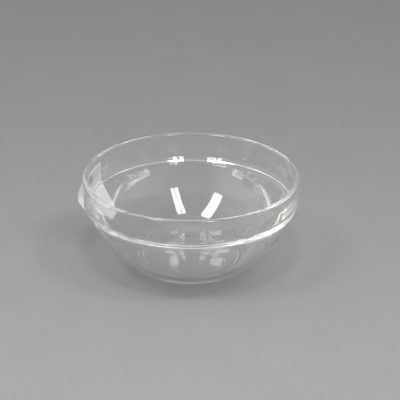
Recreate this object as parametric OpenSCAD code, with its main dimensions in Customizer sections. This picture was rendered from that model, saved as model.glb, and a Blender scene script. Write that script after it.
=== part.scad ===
// Stacking prep bowl of clear pressed glass, with a blank paper label on its left side.
// Millimetres. +Z is up, the bowl's axis is the Z axis and the table is the plane z = 0.
// The bowl is one turned solid: its cross-section is drawn once and turned about the axis.

/* [Overall] */
// Outer diameter of the rim
rim_d = 140; // [120:1:190]
// Height from the table to the top of the rim
bowl_h = 61.5; // [54:0.5:76]
// Diameter at which the curve of the body would meet the table
base_d = 72.8; // [70:0.2:84]
// Radius of the body's curve, measured on its outer face
body_bend_r = 62.6; // [56:0.2:80]

/* [Glass] */
// Thickness of the glass at the rim, which is fully rounded
rim_t = 3.3; // [2.4:0.1:3.8]
// Thickness of the body's wall
wall_t = 3.1; // [2.4:0.1:3.8]
// Thickness of the floor, above the hollow of the foot
floor_t = 3.3; // [2.6:0.1:5]

/* [Collar] */
// Drop from the top of the rim to the underside of the bead
bead_drop = 21.4; // [19:0.2:24]
// How far the body's top lies inside the rim's outer radius, where it meets the bead
shoulder_in = 4.6; // [4:0.1:5.4]
// Radius of the hollow corner between the body and the bead
shoulder_round = 2.8; // [1.2:0.1:2.9]
// How far the bead's lower corner lies inside the rim's outer radius
bead_foot_in = 1.1; // [0.8:0.1:1.8]
// Rise of the bead's lower corner above the point where its underside meets the body
bead_foot_rise = 0.9; // [0:0.1:1.4]
// Radius that rounds the bead's lower corner
bead_round = 2.4; // [1:0.1:2.4]
// Height above the bead's underside at which its side turns upright
bead_side_rise = 3.8; // [3.6:0.1:5]
// How far the bead's side lies inside the rim's outer radius at that height
bead_side_in = 0.35; // [0.3:0.05:0.7]
// Height of the bead's swell above its underside
swell_rise = 7.4; // [6:0.1:9]
// How far the bead's swell lies inside the rim's outer radius
swell_in = 0.3; // [0.1:0.05:0.6]
// Radius that rounds the bead's side and its swell
swell_round = 2.6; // [0.5:0.1:6]
// Height of the waist over the bead, above the bead's underside
waist_rise = 14; // [11:0.2:16]
// How far the waist lies inside the rim's outer radius
waist_in = 0.8; // [0.5:0.05:1.2]
// Radius of the waist's hollow
waist_round = 7; // [2:0.5:9]

/* [Stacking ledge] */
// Height of the ledge's outer end above the underside of the bead
ledge_rise = 4.8; // [4:0.1:6]
// How far the inner wall of the collar draws in from the rim down to the ledge
collar_draft = 0.8; // [0.2:0.1:1.6]
// Fall of the sloping ledge from the collar to its inner edge
ledge_fall = 3.4; // [2.4:0.1:4]
// Radius of the hollow corner at the back of the ledge
ledge_hollow_round = 1; // [0.4:0.1:2.5]
// Radius of the ledge's inner edge
ledge_edge_round = 2.6; // [1:0.1:3.4]

/* [Foot and floor] */
// Width of the foot's ring, from where the body's curve would meet the table in to the hollow
foot_ring_w = 3.8; // [3.7:0.1:9]
// Depth of the hollow under the foot
foot_hollow_h = 0.5; // [0.3:0.1:1.2]
// Radius that rounds the inner edge of the foot
foot_edge_round = 0.1; // [0.05:0.05:0.4]
// Radius that rounds the outer edge of the foot
foot_round = 5.6; // [1:0.1:5.6]
// Radius of the curve from the inner wall to the floor
floor_round = 5; // [3:0.5:12]

/* [Label] */
// Length of the label around the bowl
label_w = 33; // [24:0.5:44]
// Drop from the rim to the label's upper edge
label_top_drop = 6; // [4:0.5:9]
// Height that the label covers, measured straight down
label_h = 37; // [34:0.5:38]
// Thickness of the paper
label_t = 0.2; // [0.1:0.05:0.4]
// How far the loose end of the label stands off the glass
label_lift = 3.4; // [1:0.1:5]
// Radius of the label's rounded lower corner
label_corner_r = 9; // [3:0.5:12]

/* [Hidden] */

// Values that follow from the sizes above
rim_r = rim_d / 2;
lip_r = rim_t / 2;
bead_z = bowl_h - bead_drop;
ledge_z = bead_z + ledge_rise;
floor_z = foot_hollow_h + floor_t;
foot_hollow_r = base_d / 2 - foot_ring_w;

// The turned surface is exact at this number of sides, and drawn smooth
turn_sides = 180;
// Straight steps in the body's curve, in the rim's half circle and in each rounded corner
body_steps = 28;
lip_steps = 12;
corner_steps = 8;
// The part of a side that one rounded corner may use, so that two corners never meet
corner_share = 0.48;

// The body's curve is an arc of radius body_bend_r from the table to the bead's underside
table_point = [base_d / 2, 0];
shoulder_point = [rim_r - shoulder_in, bead_z];
body_chord = shoulder_point - table_point;
body_sagitta_run = sqrt(body_bend_r * body_bend_r - body_chord * body_chord / 4);
body_centre = (table_point + shoulder_point) / 2
    + body_sagitta_run * [-body_chord.y, body_chord.x] / norm(body_chord);
inner_bend_r = body_bend_r - wall_t;

// Angle on an arc about the body's centre at which it reaches height z
function body_angle(r, z) = asin((z - body_centre.y) / r);
// Radius of the bowl where an arc about the body's centre reaches height z
function body_radius(r, z) = body_centre.x + r * cos(body_angle(r, z));

function unit(v) = v / norm(v);

// The arc of radius r that rounds corner b between its neighbours a and c
function rounded_corner(a, b, c, r) =
    let (
        back = unit(a - b),
        ahead = unit(c - b),
        half = acos(back * ahead) / 2,
        run = min(r / tan(half), corner_share * norm(a - b), corner_share * norm(c - b)),
        arc_r = run * tan(half),
        centre = b + unit(back + ahead) * arc_r / sin(half),
        from = b + back * run - centre,
        to = b + ahead * run - centre,
        sweep = atan2(cross(from, to), from * to),
        start = atan2(from.y, from.x)
    )
    [for (i = [0:corner_steps])
        let (a = start + sweep * i / corner_steps) centre + arc_r * [cos(a), sin(a)]];

// An outline whose points are [radius, height, rounding], with its corners rounded
function rounded_outline(p) =
    [for (i = [0:len(p) - 1])
        let (
            here = [p[i].x, p[i].y],
            before = p[max(i - 1, 0)],
            after = p[min(i + 1, len(p) - 1)]
        )
        each p[i].z > 0
            ? rounded_corner([before.x, before.y], here, [after.x, after.y], p[i].z)
            : [here]];

// Points of an arc, each with no rounding of its own
function arc_points(centre, r, from, to, steps) =
    [for (i = [0:steps])
        let (a = from + (to - from) * i / steps)
        [centre.x + r * cos(a), centre.y + r * sin(a), 0]];

// The body's outer curve stops short of the bead, to leave room for the hollow corner
body_top_z = bead_z - 2 * shoulder_round;
// The inner curve runs from the floor's curve to just under the ledge's edge
inner_top_z = ledge_z - ledge_fall - 2 * ledge_edge_round;
inner_low_z = floor_z + floor_round / 2;

function under_side() = [
    [0, foot_hollow_h, 0],
    [foot_hollow_r - foot_hollow_h, foot_hollow_h, foot_edge_round],
    [foot_hollow_r, 0, foot_edge_round],
    [table_point.x, 0, foot_round]
];

function outer_side() = concat(
    arc_points(body_centre, body_bend_r, body_angle(body_bend_r, foot_round),
        body_angle(body_bend_r, body_top_z), body_steps),
    [
        [body_radius(body_bend_r, bead_z), bead_z, shoulder_round],
        [rim_r - bead_foot_in, bead_z + bead_foot_rise, bead_round],
        [rim_r - bead_side_in, bead_z + bead_side_rise, swell_round],
        [rim_r - swell_in, bead_z + swell_rise, swell_round],
        [rim_r - waist_in, bead_z + waist_rise, waist_round]
    ]
);

function lip() = arc_points([rim_r - lip_r, bowl_h - lip_r], lip_r, 0, 180, lip_steps);

function inner_side() = concat(
    [
        [rim_r - rim_t - collar_draft, ledge_z, ledge_hollow_round],
        [body_radius(inner_bend_r, ledge_z - ledge_fall), ledge_z - ledge_fall, ledge_edge_round]
    ],
    arc_points(body_centre, inner_bend_r, body_angle(inner_bend_r, inner_top_z),
        body_angle(inner_bend_r, inner_low_z), body_steps),
    [
        [body_radius(inner_bend_r, floor_z), floor_z, floor_round],
        [0, floor_z, 0]
    ]
);

module bowl() {
    color("lightcyan", 0.35)
        rotate_extrude($fn = turn_sides)
            polygon(rounded_outline(concat(under_side(), outer_side(), lip(), inner_side())));
}

// The label follows the outer face at a small distance: it lies on the collar, bridges the
// hollow under the bead in a straight line and lies on the body again. Towards the front it
// comes loose and stands off.

// Room between the paper and the glass
label_gap = 0.1;
// Drop from the bead's underside to the line where the paper lies on the body again
label_touch_drop = 11;
// Angle that the label covers around the bowl, from the bowl's left side to the back
label_angle = label_w / (PI * rim_d) * 360;
// The part of the label's angle that is loose, and the part of its height over which it lifts
loose_share = 0.55;
lift_share = 0.32;
label_columns = 14;
label_rows = 16;

label_top_z = bowl_h - label_top_drop;
label_low_z = label_top_z - label_h;
label_touch_z = bead_z - label_touch_drop;

// Radius of the glass that the label lies on, at height z
function seat_radius(z) = lookup(z, concat(
    [for (i = [0:label_rows])
        let (low = label_low_z + (label_touch_z - label_low_z) * i / label_rows)
        [low, body_radius(body_bend_r, low)]],
    [
        [bead_z + bead_foot_rise, rim_r - bead_side_in],
        [bead_z + swell_rise, rim_r - swell_in],
        [bead_z + waist_rise, rim_r - waist_in],
        [bowl_h - lip_r, rim_r]
    ]
));

// How far the paper stands off at a share of its height from the top and of its angle from the front
function lift(down, along) =
    label_lift * sin(90 * min(1, down / lift_share)) * (1 + cos(180 * min(1, along / loose_share))) / 2;

// Angle that the rounded lower corner takes off the label's far end, at height z
function corner_angle(z) =
    let (rise = min(z - label_low_z, label_corner_r))
    (label_corner_r - sqrt(label_corner_r ^ 2 - (label_corner_r - rise) ^ 2)) / (PI * rim_d) * 360;

// A point of the label, out is 0 on the side towards the glass and 1 on its outer side
function label_point(row, column, out) =
    let (
        down = row / label_rows,
        along = column / label_columns,
        z = label_top_z - label_h * down,
        r = seat_radius(z) + label_gap + lift(down, along) + label_t * out,
        a = 180 - along * (label_angle - corner_angle(z))
    )
    [r * cos(a), r * sin(a), z];

// The sheet's faces: a grid of triangles on each side and a strip round the edge
row_points = label_columns + 1;
side_points = row_points * (label_rows + 1);
function at(row, column, out) = out * side_points + row * row_points + column;

module label() {
    color("gainsboro")
        polyhedron(
            points = [for (out = [0, 1], row = [0:label_rows], column = [0:label_columns])
                label_point(row, column, out)],
            faces = concat(
                [for (row = [0:label_rows - 1], column = [0:label_columns - 1])
                    each [
                        [at(row, column, 0), at(row, column + 1, 0), at(row + 1, column + 1, 0)],
                        [at(row, column, 0), at(row + 1, column + 1, 0), at(row + 1, column, 0)],
                        [at(row, column, 1), at(row + 1, column + 1, 1), at(row, column + 1, 1)],
                        [at(row, column, 1), at(row + 1, column, 1), at(row + 1, column + 1, 1)]
                    ]],
                [for (row = [0:label_rows - 1])
                    each [
                        [at(row, 0, 0), at(row + 1, 0, 0), at(row + 1, 0, 1)],
                        [at(row, 0, 0), at(row + 1, 0, 1), at(row, 0, 1)],
                        [at(row, label_columns, 0), at(row + 1, label_columns, 1), at(row + 1, label_columns, 0)],
                        [at(row, label_columns, 0), at(row, label_columns, 1), at(row + 1, label_columns, 1)]
                    ]],
                [for (column = [0:label_columns - 1])
                    each [
                        [at(0, column, 0), at(0, column + 1, 1), at(0, column + 1, 0)],
                        [at(0, column, 0), at(0, column, 1), at(0, column + 1, 1)],
                        [at(label_rows, column, 0), at(label_rows, column + 1, 0), at(label_rows, column + 1, 1)],
                        [at(label_rows, column, 0), at(label_rows, column + 1, 1), at(label_rows, column, 1)]
                    ]]
            )
        );
}

bowl();
label();
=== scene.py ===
"""Looks of the clear glass prep bowl and of the blank paper label on its left side.

The bowl is turned from the same cross-section as the CAD, in finer steps. The table, the lamps,
the room and the camera follow the view of the photograph.
"""

import math

import bmesh
import bpy
from mathutils import Matrix, Vector


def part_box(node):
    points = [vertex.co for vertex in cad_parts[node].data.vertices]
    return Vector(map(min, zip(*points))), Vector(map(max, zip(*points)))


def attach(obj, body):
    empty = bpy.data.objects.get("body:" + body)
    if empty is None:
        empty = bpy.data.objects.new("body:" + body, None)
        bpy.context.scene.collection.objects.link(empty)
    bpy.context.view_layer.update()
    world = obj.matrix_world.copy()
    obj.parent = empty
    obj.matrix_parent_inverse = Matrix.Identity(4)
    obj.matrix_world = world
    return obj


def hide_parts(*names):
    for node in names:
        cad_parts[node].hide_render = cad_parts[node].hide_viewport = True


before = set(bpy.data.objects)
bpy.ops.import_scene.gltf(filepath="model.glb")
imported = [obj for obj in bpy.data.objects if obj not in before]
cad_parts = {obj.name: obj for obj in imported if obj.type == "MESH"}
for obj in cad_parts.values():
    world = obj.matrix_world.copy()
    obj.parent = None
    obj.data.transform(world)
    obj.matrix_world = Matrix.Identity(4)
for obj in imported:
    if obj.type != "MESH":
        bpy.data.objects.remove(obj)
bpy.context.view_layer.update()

# One millimetre in metres
MM = 0.001
rim_reach, _, rim_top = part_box("bowl")[1]

# Sizes are in millimetres. The rim and the height come from the frame, to the nearest tenth because
# its mesh has flat facets, and the rest is as in the CAD.
# Overall
RIM_R = round(rim_reach / MM, 1)
BOWL_H = round(rim_top / MM, 1)
BASE_R = 36.4
BODY_BEND_R = 62.6

# Glass
RIM_T = 3.3
WALL_T = 3.1
FLOOR_T = 3.3

# Collar and bead. IN is how far a point lies inside the rim's radius, and RISE is its height above
# the bead's underside.
BEAD_DROP = 21.4
SHOULDER_IN = 4.6
SHOULDER_ROUND = 2.8
BEAD_FOOT_IN = 1.1
BEAD_FOOT_RISE = 0.9
BEAD_ROUND = 2.4
BEAD_SIDE_RISE = 3.8
BEAD_SIDE_IN = 0.35
SWELL_RISE = 7.4
SWELL_IN = 0.3
SWELL_ROUND = 2.6
WAIST_RISE = 14.0
WAIST_IN = 0.8
WAIST_ROUND = 7.0

# Stacking ledge
LEDGE_RISE = 4.8
COLLAR_DRAFT = 0.8
LEDGE_FALL = 3.4
LEDGE_HOLLOW_ROUND = 1.0
LEDGE_EDGE_ROUND = 2.6

# Foot and floor
FOOT_RING_W = 3.8
FOOT_HOLLOW_H = 0.5
FOOT_EDGE_ROUND = 0.1
FOOT_ROUND = 5.6
FLOOR_ROUND = 5.0

# Label. Its loose end stands off a little less than in the CAD, to stay inside the CAD's box.
LABEL_W = 33.0
LABEL_TOP_DROP = 6.0
LABEL_H = 37.0
LABEL_T = 0.2
LABEL_LIFT = 3.3
LABEL_CORNER_R = 9.0
LABEL_GAP = 0.1
# Drop from the bead's underside to where the paper leaves the body's curve
LABEL_TOUCH_DROP = 11.0
# Share of the label's length over which it comes loose, and of its height over which it lifts
LOOSE_SHARE = 0.55
LIFT_SHARE = 0.32

# Steps of the body's curve, the lip's half circle, each rounded corner and the full turn
BODY_STEPS = 60
LIP_STEPS = 24
CORNER_STEPS = 12
TURN_STEPS = 288
# Share of a side that the rounding of one corner may use
CORNER_SHARE = 0.48
# Least distance between two points of the cross-section
LEAST_STEP = 0.01
# Steps of the label from top to bottom and along its length, and of the body's curve under it
LABEL_ROWS = 72
LABEL_COLUMNS = 64
SEAT_STEPS = 20

# Heights and radii that follow from the sizes
BEAD_Z = BOWL_H - BEAD_DROP
LEDGE_Z = BEAD_Z + LEDGE_RISE
EDGE_Z = LEDGE_Z - LEDGE_FALL
FLOOR_Z = FOOT_HOLLOW_H + FLOOR_T
FOOT_HOLLOW_R = BASE_R - FOOT_RING_W
LIP_R = RIM_T / 2
INNER_BEND_R = BODY_BEND_R - WALL_T
LABEL_TOP_Z = BOWL_H - LABEL_TOP_DROP
LABEL_LOW_Z = LABEL_TOP_Z - LABEL_H
LABEL_TOUCH_Z = BEAD_Z - LABEL_TOUCH_DROP

# Points nearer than this, in metres, are one point
SAME_PLACE = 1e-6
# Half the side of the table's square, in metres
TABLE_REACH = 3

WHITE = (1, 1, 1, 1)
GLASS_TINT = (0.8, 0.86, 0.76, 1)
PAPER_TONES = (0.83, 0.82, 0.8, 1), (0.91, 0.9, 0.88, 1)
TABLE_TONES = (0.304, 0.297, 0.302, 1), (0.336, 0.328, 0.333, 1)


def body_centre():
    """Centre of the body's arc, which runs from the table to the bead's underside."""
    low, high = Vector((BASE_R, 0)), Vector((RIM_R - SHOULDER_IN, BEAD_Z))
    chord = high - low
    run = math.sqrt(BODY_BEND_R**2 - chord.length_squared / 4)
    return (low + high) / 2 + run * Vector((-chord.y, chord.x)) / chord.length


CENTRE = body_centre()


def body_angle(r, z):
    """Angle on an arc of radius r about the body's centre at which it reaches height z."""
    return math.asin((z - CENTRE.y) / r)


def body_radius(r, z):
    """Radius of the bowl where an arc of radius r about the body's centre reaches height z."""
    return CENTRE.x + r * math.cos(body_angle(r, z))


def arc(centre, r, start, stop, steps):
    """Points [radius, height, rounding] of an arc, with angles in radians."""
    turn = [start + (stop - start) * i / steps for i in range(steps + 1)]
    return [[centre[0] + r * math.cos(a), centre[1] + r * math.sin(a), 0] for a in turn]


def body_arc(r, start_z, stop_z):
    """Points of an arc about the body's centre, from one height to another."""
    return arc(CENTRE, r, body_angle(r, start_z), body_angle(r, stop_z), BODY_STEPS)


def rounded(points):
    """The outline with each corner rounded by the arc that its third number asks for."""
    out = []
    for i, (x, y, r) in enumerate(points):
        if r == 0:
            out.append((x, y))
            continue
        corner = Vector((x, y))
        before, after = Vector(points[i - 1][:2]) - corner, Vector(points[i + 1][:2]) - corner
        back, ahead = before.normalized(), after.normalized()
        half = math.acos(max(-1, min(1, back.dot(ahead)))) / 2
        run = min(r / math.tan(half), CORNER_SHARE * before.length, CORNER_SHARE * after.length)
        bend = run * math.tan(half)
        centre = corner + (back + ahead).normalized() * bend / math.sin(half)
        first, last = corner + back * run - centre, corner + ahead * run - centre
        sweep = math.atan2(first.x * last.y - first.y * last.x, first.dot(last))
        start = math.atan2(first.y, first.x)
        for k in range(CORNER_STEPS + 1):
            a = start + sweep * k / CORNER_STEPS
            out.append((centre.x + bend * math.cos(a), centre.y + bend * math.sin(a)))
    return out


def outline():
    """The cross-section, from the middle of the foot round the outside to the middle of the floor."""
    foot = [
        [0, FOOT_HOLLOW_H, 0],
        [FOOT_HOLLOW_R - FOOT_HOLLOW_H, FOOT_HOLLOW_H, FOOT_EDGE_ROUND],
        [FOOT_HOLLOW_R, 0, FOOT_EDGE_ROUND],
        [BASE_R, 0, FOOT_ROUND],
    ]
    outside = body_arc(BODY_BEND_R, FOOT_ROUND, BEAD_Z - 2 * SHOULDER_ROUND)
    collar = [
        [body_radius(BODY_BEND_R, BEAD_Z), BEAD_Z, SHOULDER_ROUND],
        [RIM_R - BEAD_FOOT_IN, BEAD_Z + BEAD_FOOT_RISE, BEAD_ROUND],
        [RIM_R - BEAD_SIDE_IN, BEAD_Z + BEAD_SIDE_RISE, SWELL_ROUND],
        [RIM_R - SWELL_IN, BEAD_Z + SWELL_RISE, SWELL_ROUND],
        [RIM_R - WAIST_IN, BEAD_Z + WAIST_RISE, WAIST_ROUND],
    ]
    lip = arc((RIM_R - LIP_R, BOWL_H - LIP_R), LIP_R, 0, math.pi, LIP_STEPS)
    ledge = [
        [RIM_R - RIM_T - COLLAR_DRAFT, LEDGE_Z, LEDGE_HOLLOW_ROUND],
        [body_radius(INNER_BEND_R, EDGE_Z), EDGE_Z, LEDGE_EDGE_ROUND],
    ]
    inside = body_arc(INNER_BEND_R, EDGE_Z - 2 * LEDGE_EDGE_ROUND, FLOOR_Z + FLOOR_ROUND / 2)
    floor = [[body_radius(INNER_BEND_R, FLOOR_Z), FLOOR_Z, FLOOR_ROUND], [0, FLOOR_Z, 0]]
    return rounded(foot + outside + collar + lip + ledge + inside + floor)


def face_outwards(bm):
    """All faces of a closed mesh turned outwards. On thin paper the operator alone can miss that."""
    bmesh.ops.recalc_face_normals(bm, faces=bm.faces)
    if bm.calc_volume(signed=True) < 0:
        bmesh.ops.reverse_faces(bm, faces=bm.faces)


def new_object(name, bm):
    """A smooth-shaded object made from a bmesh, at the origin."""
    mesh = bpy.data.meshes.new(name)
    bm.to_mesh(mesh)
    bm.free()
    mesh.shade_smooth()
    ob = bpy.data.objects.new(name, mesh)
    bpy.context.scene.collection.objects.link(ob)
    return ob


def make_bowl():
    """The glass, as the cross-section turned about the upright axis."""
    points = outline()
    kept = [points[0]]
    for point in points[1:]:
        if math.dist(point, kept[-1]) > LEAST_STEP:
            kept.append(point)
    bm = bmesh.new()
    verts = [bm.verts.new((r * MM, 0, z * MM)) for r, z in kept]
    edges = [bm.edges.new(pair) for pair in zip(verts, verts[1:])]
    bmesh.ops.spin(
        bm,
        geom=verts + edges,
        cent=(0, 0, 0),
        axis=(0, 0, 1),
        dvec=(0, 0, 0),
        angle=2 * math.pi,
        steps=TURN_STEPS,
        use_merge=True,
    )
    bmesh.ops.remove_doubles(bm, verts=bm.verts, dist=SAME_PLACE)
    face_outwards(bm)
    return new_object("pressed_glass_bowl", bm)


def label_seat():
    """[height, radius] pairs that the paper lies over: the body, the bead's side and the collar."""
    rise = LABEL_TOUCH_Z - LABEL_LOW_Z
    heights = [LABEL_LOW_Z + rise * i / SEAT_STEPS for i in range(SEAT_STEPS + 1)]
    return [[z, body_radius(BODY_BEND_R, z)] for z in heights] + [
        [BEAD_Z + BEAD_FOOT_RISE, RIM_R - BEAD_SIDE_IN],
        [BEAD_Z + SWELL_RISE, RIM_R - SWELL_IN],
        [BEAD_Z + WAIST_RISE, RIM_R - WAIST_IN],
        [BOWL_H - LIP_R, RIM_R],
    ]


def seat_radius(z, seat):
    """Radius at height z, read between the pairs of the seat, which rise in height."""
    for (z0, r0), (z1, r1) in zip(seat, seat[1:]):
        if z <= z1:
            return r0 + (r1 - r0) * (z - z0) / (z1 - z0)
    return seat[-1][1]


def label_point(seat, along, down, face):
    """A point of the paper, in metres.

    along and down are shares of its length, from the loose end to the hidden one, and of its height.
    face is 0 on its inner face and 1 on its outer one.
    """
    z = LABEL_TOP_Z - LABEL_H * down
    rise = max(0, min(z - LABEL_LOW_Z, LABEL_CORNER_R))
    corner = LABEL_CORNER_R - math.sqrt(LABEL_CORNER_R**2 - (LABEL_CORNER_R - rise) ** 2)
    turn = math.pi - along * (LABEL_W - corner) / RIM_R
    loose = (1 + math.cos(math.pi * min(1, along / LOOSE_SHARE))) / 2
    lift = LABEL_LIFT * math.sin(math.pi / 2 * min(1, down / LIFT_SHARE)) * loose
    r = seat_radius(z, seat) + LABEL_GAP + lift + LABEL_T * face
    return Vector((r * math.cos(turn), r * math.sin(turn), z)) * MM


def make_label():
    """The paper, as a flat unit grid with a second face, laid round the bowl."""
    bm = bmesh.new()
    bmesh.ops.create_grid(bm, x_segments=LABEL_COLUMNS, y_segments=LABEL_ROWS, size=0.5)
    bmesh.ops.translate(bm, verts=bm.verts, vec=(0.5, 0.5, 0))
    inner = bm.verts[:]
    second = bmesh.ops.extrude_face_region(bm, geom=bm.faces[:])["geom"]
    outer = [part for part in second if isinstance(part, bmesh.types.BMVert)]
    seat = label_seat()
    for face, verts in enumerate((inner, outer)):
        for vert in verts:
            vert.co = label_point(seat, vert.co.x, vert.co.y, face)
    face_outwards(bm)
    return new_object("paper_label", bm)


def set_inputs(node, values):
    """The node, with a value on each of its named inputs."""
    for name, value in values.items():
        node.inputs[name].default_value = value
    return node


def grain_group():
    """The fine unevenness that the finishes share, as a mask and as the normal of the surface."""
    group = bpy.data.node_groups.new("surface_grain", "ShaderNodeTree")
    group.interface.new_socket("Vector", in_out="INPUT", socket_type="NodeSocketVector")
    for name in ("Scale", "Detail", "Strength", "Distance"):
        group.interface.new_socket(name, in_out="INPUT", socket_type="NodeSocketFloat")
    group.interface.new_socket("Mask", in_out="OUTPUT", socket_type="NodeSocketFloat")
    group.interface.new_socket("Normal", in_out="OUTPUT", socket_type="NodeSocketVector")
    given = group.nodes.new("NodeGroupInput")
    result = group.nodes.new("NodeGroupOutput")
    noise = group.nodes.new("ShaderNodeTexNoise")
    bump = group.nodes.new("ShaderNodeBump")
    for name in ("Vector", "Scale", "Detail"):
        group.links.new(given.outputs[name], noise.inputs[name])
    for name in ("Strength", "Distance"):
        group.links.new(given.outputs[name], bump.inputs[name])
    group.links.new(noise.outputs["Fac"], bump.inputs["Height"])
    group.links.new(noise.outputs["Fac"], result.inputs["Mask"])
    group.links.new(bump.outputs["Normal"], result.inputs["Normal"])
    return group


def add_grain(tree, grain, place, values):
    """The grain at its own scale, on the coordinates of the given socket."""
    node = tree.nodes.new("ShaderNodeGroup")
    node.node_tree = grain
    tree.links.new(place, node.inputs["Vector"])
    return set_inputs(node, values)


def add_tones(tree, mask, tones):
    """The colour that a mask picks between a dark and a light tone."""
    mask_range = 0.3, 0.7
    ramp = tree.nodes.new("ShaderNodeValToRGB")
    for element, position, tone in zip(ramp.color_ramp.elements, mask_range, tones):
        element.position = position
        element.color = tone
    tree.links.new(mask, ramp.inputs["Fac"])
    return ramp.outputs["Color"]


def new_material(name):
    """A material, its node tree and its shader."""
    m = bpy.data.materials.new(name)
    m.use_nodes = True
    return m, m.node_tree, m.node_tree.nodes["Principled BSDF"]


def glass_material(grain):
    """Clear glass, very faintly green in its depth, with the faint waves that pressing leaves."""
    m, tree, shader = new_material("clear_pressed_glass")
    set_inputs(shader, {"Base Color": WHITE, "Transmission Weight": 1, "Roughness": 0, "IOR": 1.52})
    depth = tree.nodes.new("ShaderNodeVolumeAbsorption")
    set_inputs(depth, {"Color": GLASS_TINT, "Density": 3.5})
    tree.links.new(depth.outputs["Volume"], tree.nodes["Material Output"].inputs["Volume"])
    place = tree.nodes.new("ShaderNodeTexCoord").outputs["Object"]
    form = {"Scale": 45, "Detail": 1, "Strength": 0.015, "Distance": 0.0004}
    waves = add_grain(tree, grain, place, form)
    tree.links.new(waves.outputs["Normal"], shader.inputs["Normal"])
    return m


def paper_material(grain):
    """Matt white paper with a fine fibre."""
    m, tree, shader = new_material("label_paper")
    place = tree.nodes.new("ShaderNodeTexCoord").outputs["Object"]
    form = {"Scale": 900, "Detail": 4, "Strength": 0.15, "Distance": 0.0002}
    fibre = add_grain(tree, grain, place, form)
    tree.links.new(add_tones(tree, fibre.outputs["Mask"], PAPER_TONES), shader.inputs["Base Color"])
    tree.links.new(fibre.outputs["Normal"], shader.inputs["Normal"])
    set_inputs(shader, {"Roughness": 0.75})
    return m


def table_material(grain):
    """A grey table with a fine diagonal weave, soft unevenness, and painted light that brightens it
    towards the front.
    """
    slant, stretch, mottle_share = math.radians(38), 0.35, 0.35
    # Painted light: from back_y to front_y the table's colour is scaled up, so that its front is painted
    # brighter
    back_y, front_y, painted_light_gain = 0.2, -0.1, 1.08
    m, tree, shader = new_material("grey_table")
    place = tree.nodes.new("ShaderNodeTexCoord").outputs["Object"]
    slanted = tree.nodes.new("ShaderNodeMapping")
    set_inputs(slanted, {"Rotation": (0, 0, slant), "Scale": (1, stretch, 1)})
    tree.links.new(place, slanted.inputs["Vector"])
    weave = add_grain(tree, grain, slanted.outputs["Vector"], {"Scale": 900, "Detail": 1})
    mottle = add_grain(tree, grain, place, {"Scale": 22, "Detail": 2})
    both = set_inputs(tree.nodes.new("ShaderNodeMix"), {"Factor": mottle_share})
    tree.links.new(weave.outputs["Mask"], both.inputs["A"])
    tree.links.new(mottle.outputs["Mask"], both.inputs["B"])
    axes = tree.nodes.new("ShaderNodeSeparateXYZ")
    tree.links.new(place, axes.inputs["Vector"])
    # Painted light: the tones are multiplied by a ramp along Y that stands in for more light falling on
    # the front
    painted_front_light = tree.nodes.new("ShaderNodeMapRange")
    set_inputs(painted_front_light, {"From Min": back_y, "From Max": front_y, "To Min": 1, "To Max": painted_light_gain})
    tree.links.new(axes.outputs["Y"], painted_front_light.inputs["Value"])
    tones_with_painted_light = tree.nodes.new("ShaderNodeVectorMath")
    tones_with_painted_light.operation = "SCALE"
    tree.links.new(add_tones(tree, both.outputs["Result"], TABLE_TONES), tones_with_painted_light.inputs[0])
    tree.links.new(painted_front_light.outputs["Result"], tones_with_painted_light.inputs["Scale"])
    tree.links.new(tones_with_painted_light.outputs["Vector"], shader.inputs["Base Color"])
    set_inputs(shader, {"Roughness": 1, "Specular IOR Level": 0})
    return m


def add_floor(grain):
    """The table that the bowl stands on."""
    bm = bmesh.new()
    bmesh.ops.create_grid(bm, x_segments=1, y_segments=1, size=TABLE_REACH)
    floor = new_object("floor", bm)
    floor.data.materials.append(table_material(grain))


def area_lamp(name, place, turn, size_x, size_y, power):
    """A rectangular lamp, with its sizes in metres and its power in watts."""
    lamp = bpy.data.lights.new(name, "AREA")
    lamp.shape = "RECTANGLE"
    lamp.size, lamp.size_y, lamp.energy = size_x, size_y, power
    ob = bpy.data.objects.new(name, lamp)
    bpy.context.scene.collection.objects.link(ob)
    ob.location = place
    ob.rotation_mode = "QUATERNION"
    ob.rotation_quaternion = turn
    return ob


def mirrored_lamp(name, place, turn, size_x, size_y, radiance):
    """A lamp that shows only as its mirror image in the glass, and lights nothing else."""
    power = radiance * math.pi * size_x * size_y
    area_lamp(name, place, turn, size_x, size_y, power).visible_diffuse = False


def tube_bank(name, azimuth, low, high, width, count, radiance):
    """A bank of upright tube lamps, spread over a width in metres.

    Angles are in degrees as seen from the bowl, with azimuth from the back towards the right, and
    low and high are the elevations of the tubes' ends.
    """
    seen_from, away, lit_share = Vector((0, 0.04, 0.02)), 1.2, 0.8
    az, el = math.radians(azimuth), math.radians((low + high) / 2)
    towards = Vector((math.sin(az) * math.cos(el), math.cos(az) * math.cos(el), math.sin(el)))
    side = Vector((math.cos(az), -math.sin(az), 0))
    along = (Vector((0, 0, 1)) - towards * towards.z).normalized()
    turn = Matrix((along.cross(towards), along, towards)).transposed().to_quaternion()
    length = 2 * away * math.tan(math.radians((high - low) / 2))
    tube_w = width / count * lit_share
    for i in range(count):
        place = seen_from + towards * away + side * width * ((i + 0.5) / count - 0.5)
        mirrored_lamp(f"{name}_{i + 1}", place, turn, tube_w, length, radiance)


def strip_lamp(name, x):
    """A long low lamp beside the bowl, which its wall mirrors as a bright arc."""
    length, low, high, radiance = 0.9, 0.06, 0.1, 3.5
    turn = Vector((-x, 0, 0)).to_track_quat("-Z", "Y")
    mirrored_lamp(name, (x, 0, (low + high) / 2), turn, length, high - low, radiance)


def soft_lamp(name, place, aim, size, power):
    """A soft box that lights the table and the label and isn't mirrored in the glass."""
    turn = (Vector(aim) - Vector(place)).to_track_quat("-Z", "Y")
    ob = area_lamp(name, place, turn, size, size, power)
    ob.visible_glossy = ob.visible_transmission = False
    return ob


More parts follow.
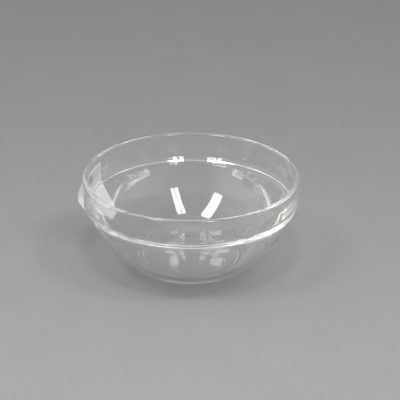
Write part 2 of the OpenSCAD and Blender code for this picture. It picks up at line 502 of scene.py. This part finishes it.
def add_lamps(label):
    """The lamps that the glass mirrors, and the soft ones that light the table and the label."""
    tube_bank("tubes_right", azimuth=157, low=32, high=66, width=0.2, count=2, radiance=14)
    tube_bank("tubes_left", azimuth=-139, low=35.5, high=68, width=0.24, count=3, radiance=14)
    # Narrow lamps behind the bowl, mirrored as streaks in its floor
    tube_bank("back_left", azimuth=-2.3, low=20, high=31, width=0.026, count=1, radiance=2.6)
    tube_bank("back_right", azimuth=3.7, low=20, high=31, width=0.044, count=1, radiance=2.6)
    strip_lamp("strip_left", x=-0.6)
    strip_lamp("strip_right", x=0.6)
    # Lamps whose light the bowl stops, for its soft shadows beside and under it
    middle = (0, 0, 0)
    soft_lamp("side_left", place=(-0.55, -0.32, 1.05), aim=middle, size=0.2, power=1.9)
    soft_lamp("side_right", place=(0.55, -0.32, 1.05), aim=middle, size=0.2, power=1.7)
    soft_lamp("top", place=(0, -0.4, 1), aim=middle, size=0.15, power=1.7)
    # Front lamps, whose light passes through the clear glass and is stopped by the label alone
    front_lamps = [
        soft_lamp("front_left", place=(-0.5, -0.7, 0.8), aim=middle, size=0.5, power=1.7),
        soft_lamp("front_right", place=(0.5, -0.7, 0.8), aim=middle, size=0.5, power=1.4),
        soft_lamp("front_middle", place=(0, -0.3, 0.35), aim=(0, -0.12, 0), size=0.15, power=0.15),
    ]
    label_lamp = soft_lamp(
        "label_light", place=(0.55, -0.3, 0.35), aim=(-0.07, 0.01, 0.04), size=0.25, power=1.4
    )
    label_alone = bpy.data.collections.new("label_alone")
    label_alone.objects.link(label)
    for lamp in front_lamps + [label_lamp]:
        lamp.light_linking.blocker_collection = label_alone
    label_lamp.light_linking.receiver_collection = label_alone


def glow_towards(tree, place, towards, starts, full):
    """A node that turns from its To Min to its To Max where the view nears a direction.

    starts and full are cosines of the angle between the view and that direction.
    """
    nearness = tree.nodes.new("ShaderNodeVectorMath")
    nearness.operation = "DOT_PRODUCT"
    nearness.inputs[1].default_value = towards
    tree.links.new(place, nearness.inputs[0])
    glow = tree.nodes.new("ShaderNodeMapRange")
    glow.interpolation_type = "SMOOTHSTEP"
    set_inputs(glow, {"From Min": starts, "From Max": full})
    tree.links.new(nearness.outputs["Value"], glow.inputs["Value"])
    return glow


def add_world():
    """A white room, brightest at the left and overhead, and dark behind the camera.

    Its strength is that of the middle, plus x times its lean to one side, plus x squared times
    what both sides gain, plus what it gains overhead.
    """
    middle, lean, sides, overhead = 0.47, -0.33, 0.43, 0.65
    behind_camera, on_the_table = 0.2, 0.56
    world = bpy.data.worlds.new("white_room")
    bpy.context.scene.world = world
    world.use_nodes = True
    tree = world.node_tree
    place = tree.nodes.new("ShaderNodeTexCoord").outputs["Generated"]
    axes = tree.nodes.new("ShaderNodeSeparateXYZ")
    tree.links.new(place, axes.inputs["Vector"])
    above = glow_towards(tree, place, towards=(0, 0.3, 0.954), starts=0.78, full=0.96)
    set_inputs(above, {"To Min": middle, "To Max": middle + overhead})
    slope, room = (tree.nodes.new("ShaderNodeMath") for _ in range(2))
    slope.operation = room.operation = "MULTIPLY_ADD"
    slope.inputs[1].default_value = sides
    slope.inputs[2].default_value = lean
    tree.links.new(axes.outputs["X"], slope.inputs[0])
    tree.links.new(axes.outputs["X"], room.inputs[0])
    tree.links.new(slope.outputs["Value"], room.inputs[1])
    tree.links.new(above.outputs["Result"], room.inputs[2])
    shade = glow_towards(tree, place, towards=(0, -0.93, 0.37), starts=0.8, full=0.95)
    set_inputs(shade, {"To Max": behind_camera})
    tree.links.new(room.outputs["Value"], shade.inputs["To Min"])
    # The light that the room spreads over the table is even
    rays = tree.nodes.new("ShaderNodeLightPath")
    spread = set_inputs(tree.nodes.new("ShaderNodeMix"), {"B": on_the_table})
    tree.links.new(rays.outputs["Diffuse Depth"], spread.inputs["Factor"])
    tree.links.new(shade.outputs["Result"], spread.inputs["A"])
    background = set_inputs(tree.nodes["Background"], {"Color": WHITE})
    tree.links.new(spread.outputs["Result"], background.inputs["Strength"])


def add_camera():
    """The photograph's view: 0.8 m from the rim's centre, a little over 24 degrees above it."""
    away, rise = 0.8, math.radians(24.31)
    photo_px, focal_px, rim_x_px, rim_y_px = 400, 1241, 190.86, 173.14
    sensor_mm = 36
    rim = Vector((0, 0, BOWL_H * MM))
    place = rim + away * Vector((0, -math.cos(rise), math.sin(rise)))
    ahead = (rim - place).normalized()
    up = Vector((1, 0, 0)).cross(ahead)
    tilt = math.atan((photo_px / 2 - rim_y_px) / focal_px)
    camera = bpy.data.cameras.new("camera")
    camera.sensor_width = sensor_mm
    camera.lens = focal_px * sensor_mm / photo_px
    camera.shift_x = (photo_px / 2 - rim_x_px) / photo_px
    ob = bpy.data.objects.new("camera", camera)
    bpy.context.scene.collection.objects.link(ob)
    ob.location = place
    ob.rotation_mode = "QUATERNION"
    ob.rotation_quaternion = (math.cos(tilt) * ahead - math.sin(tilt) * up).to_track_quat("-Z", "Y")
    bpy.context.scene.camera = ob


surface_grain = grain_group()

bowl = make_bowl()
bowl.data.materials.append(glass_material(surface_grain))
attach(bowl, "root")
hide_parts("bowl")

label = make_label()
label.data.materials.append(paper_material(surface_grain))
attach(label, "root")
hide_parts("label")

add_floor(surface_grain)
add_lamps(label)
add_world()
add_camera()

scene = bpy.context.scene
scene.view_settings.view_transform = "Standard"
# Light is led round inside the rim and the bead, and meets the glass many times
scene.cycles.max_bounces = 128
scene.cycles.glossy_bounces = 120
scene.cycles.transmission_bounces = 120
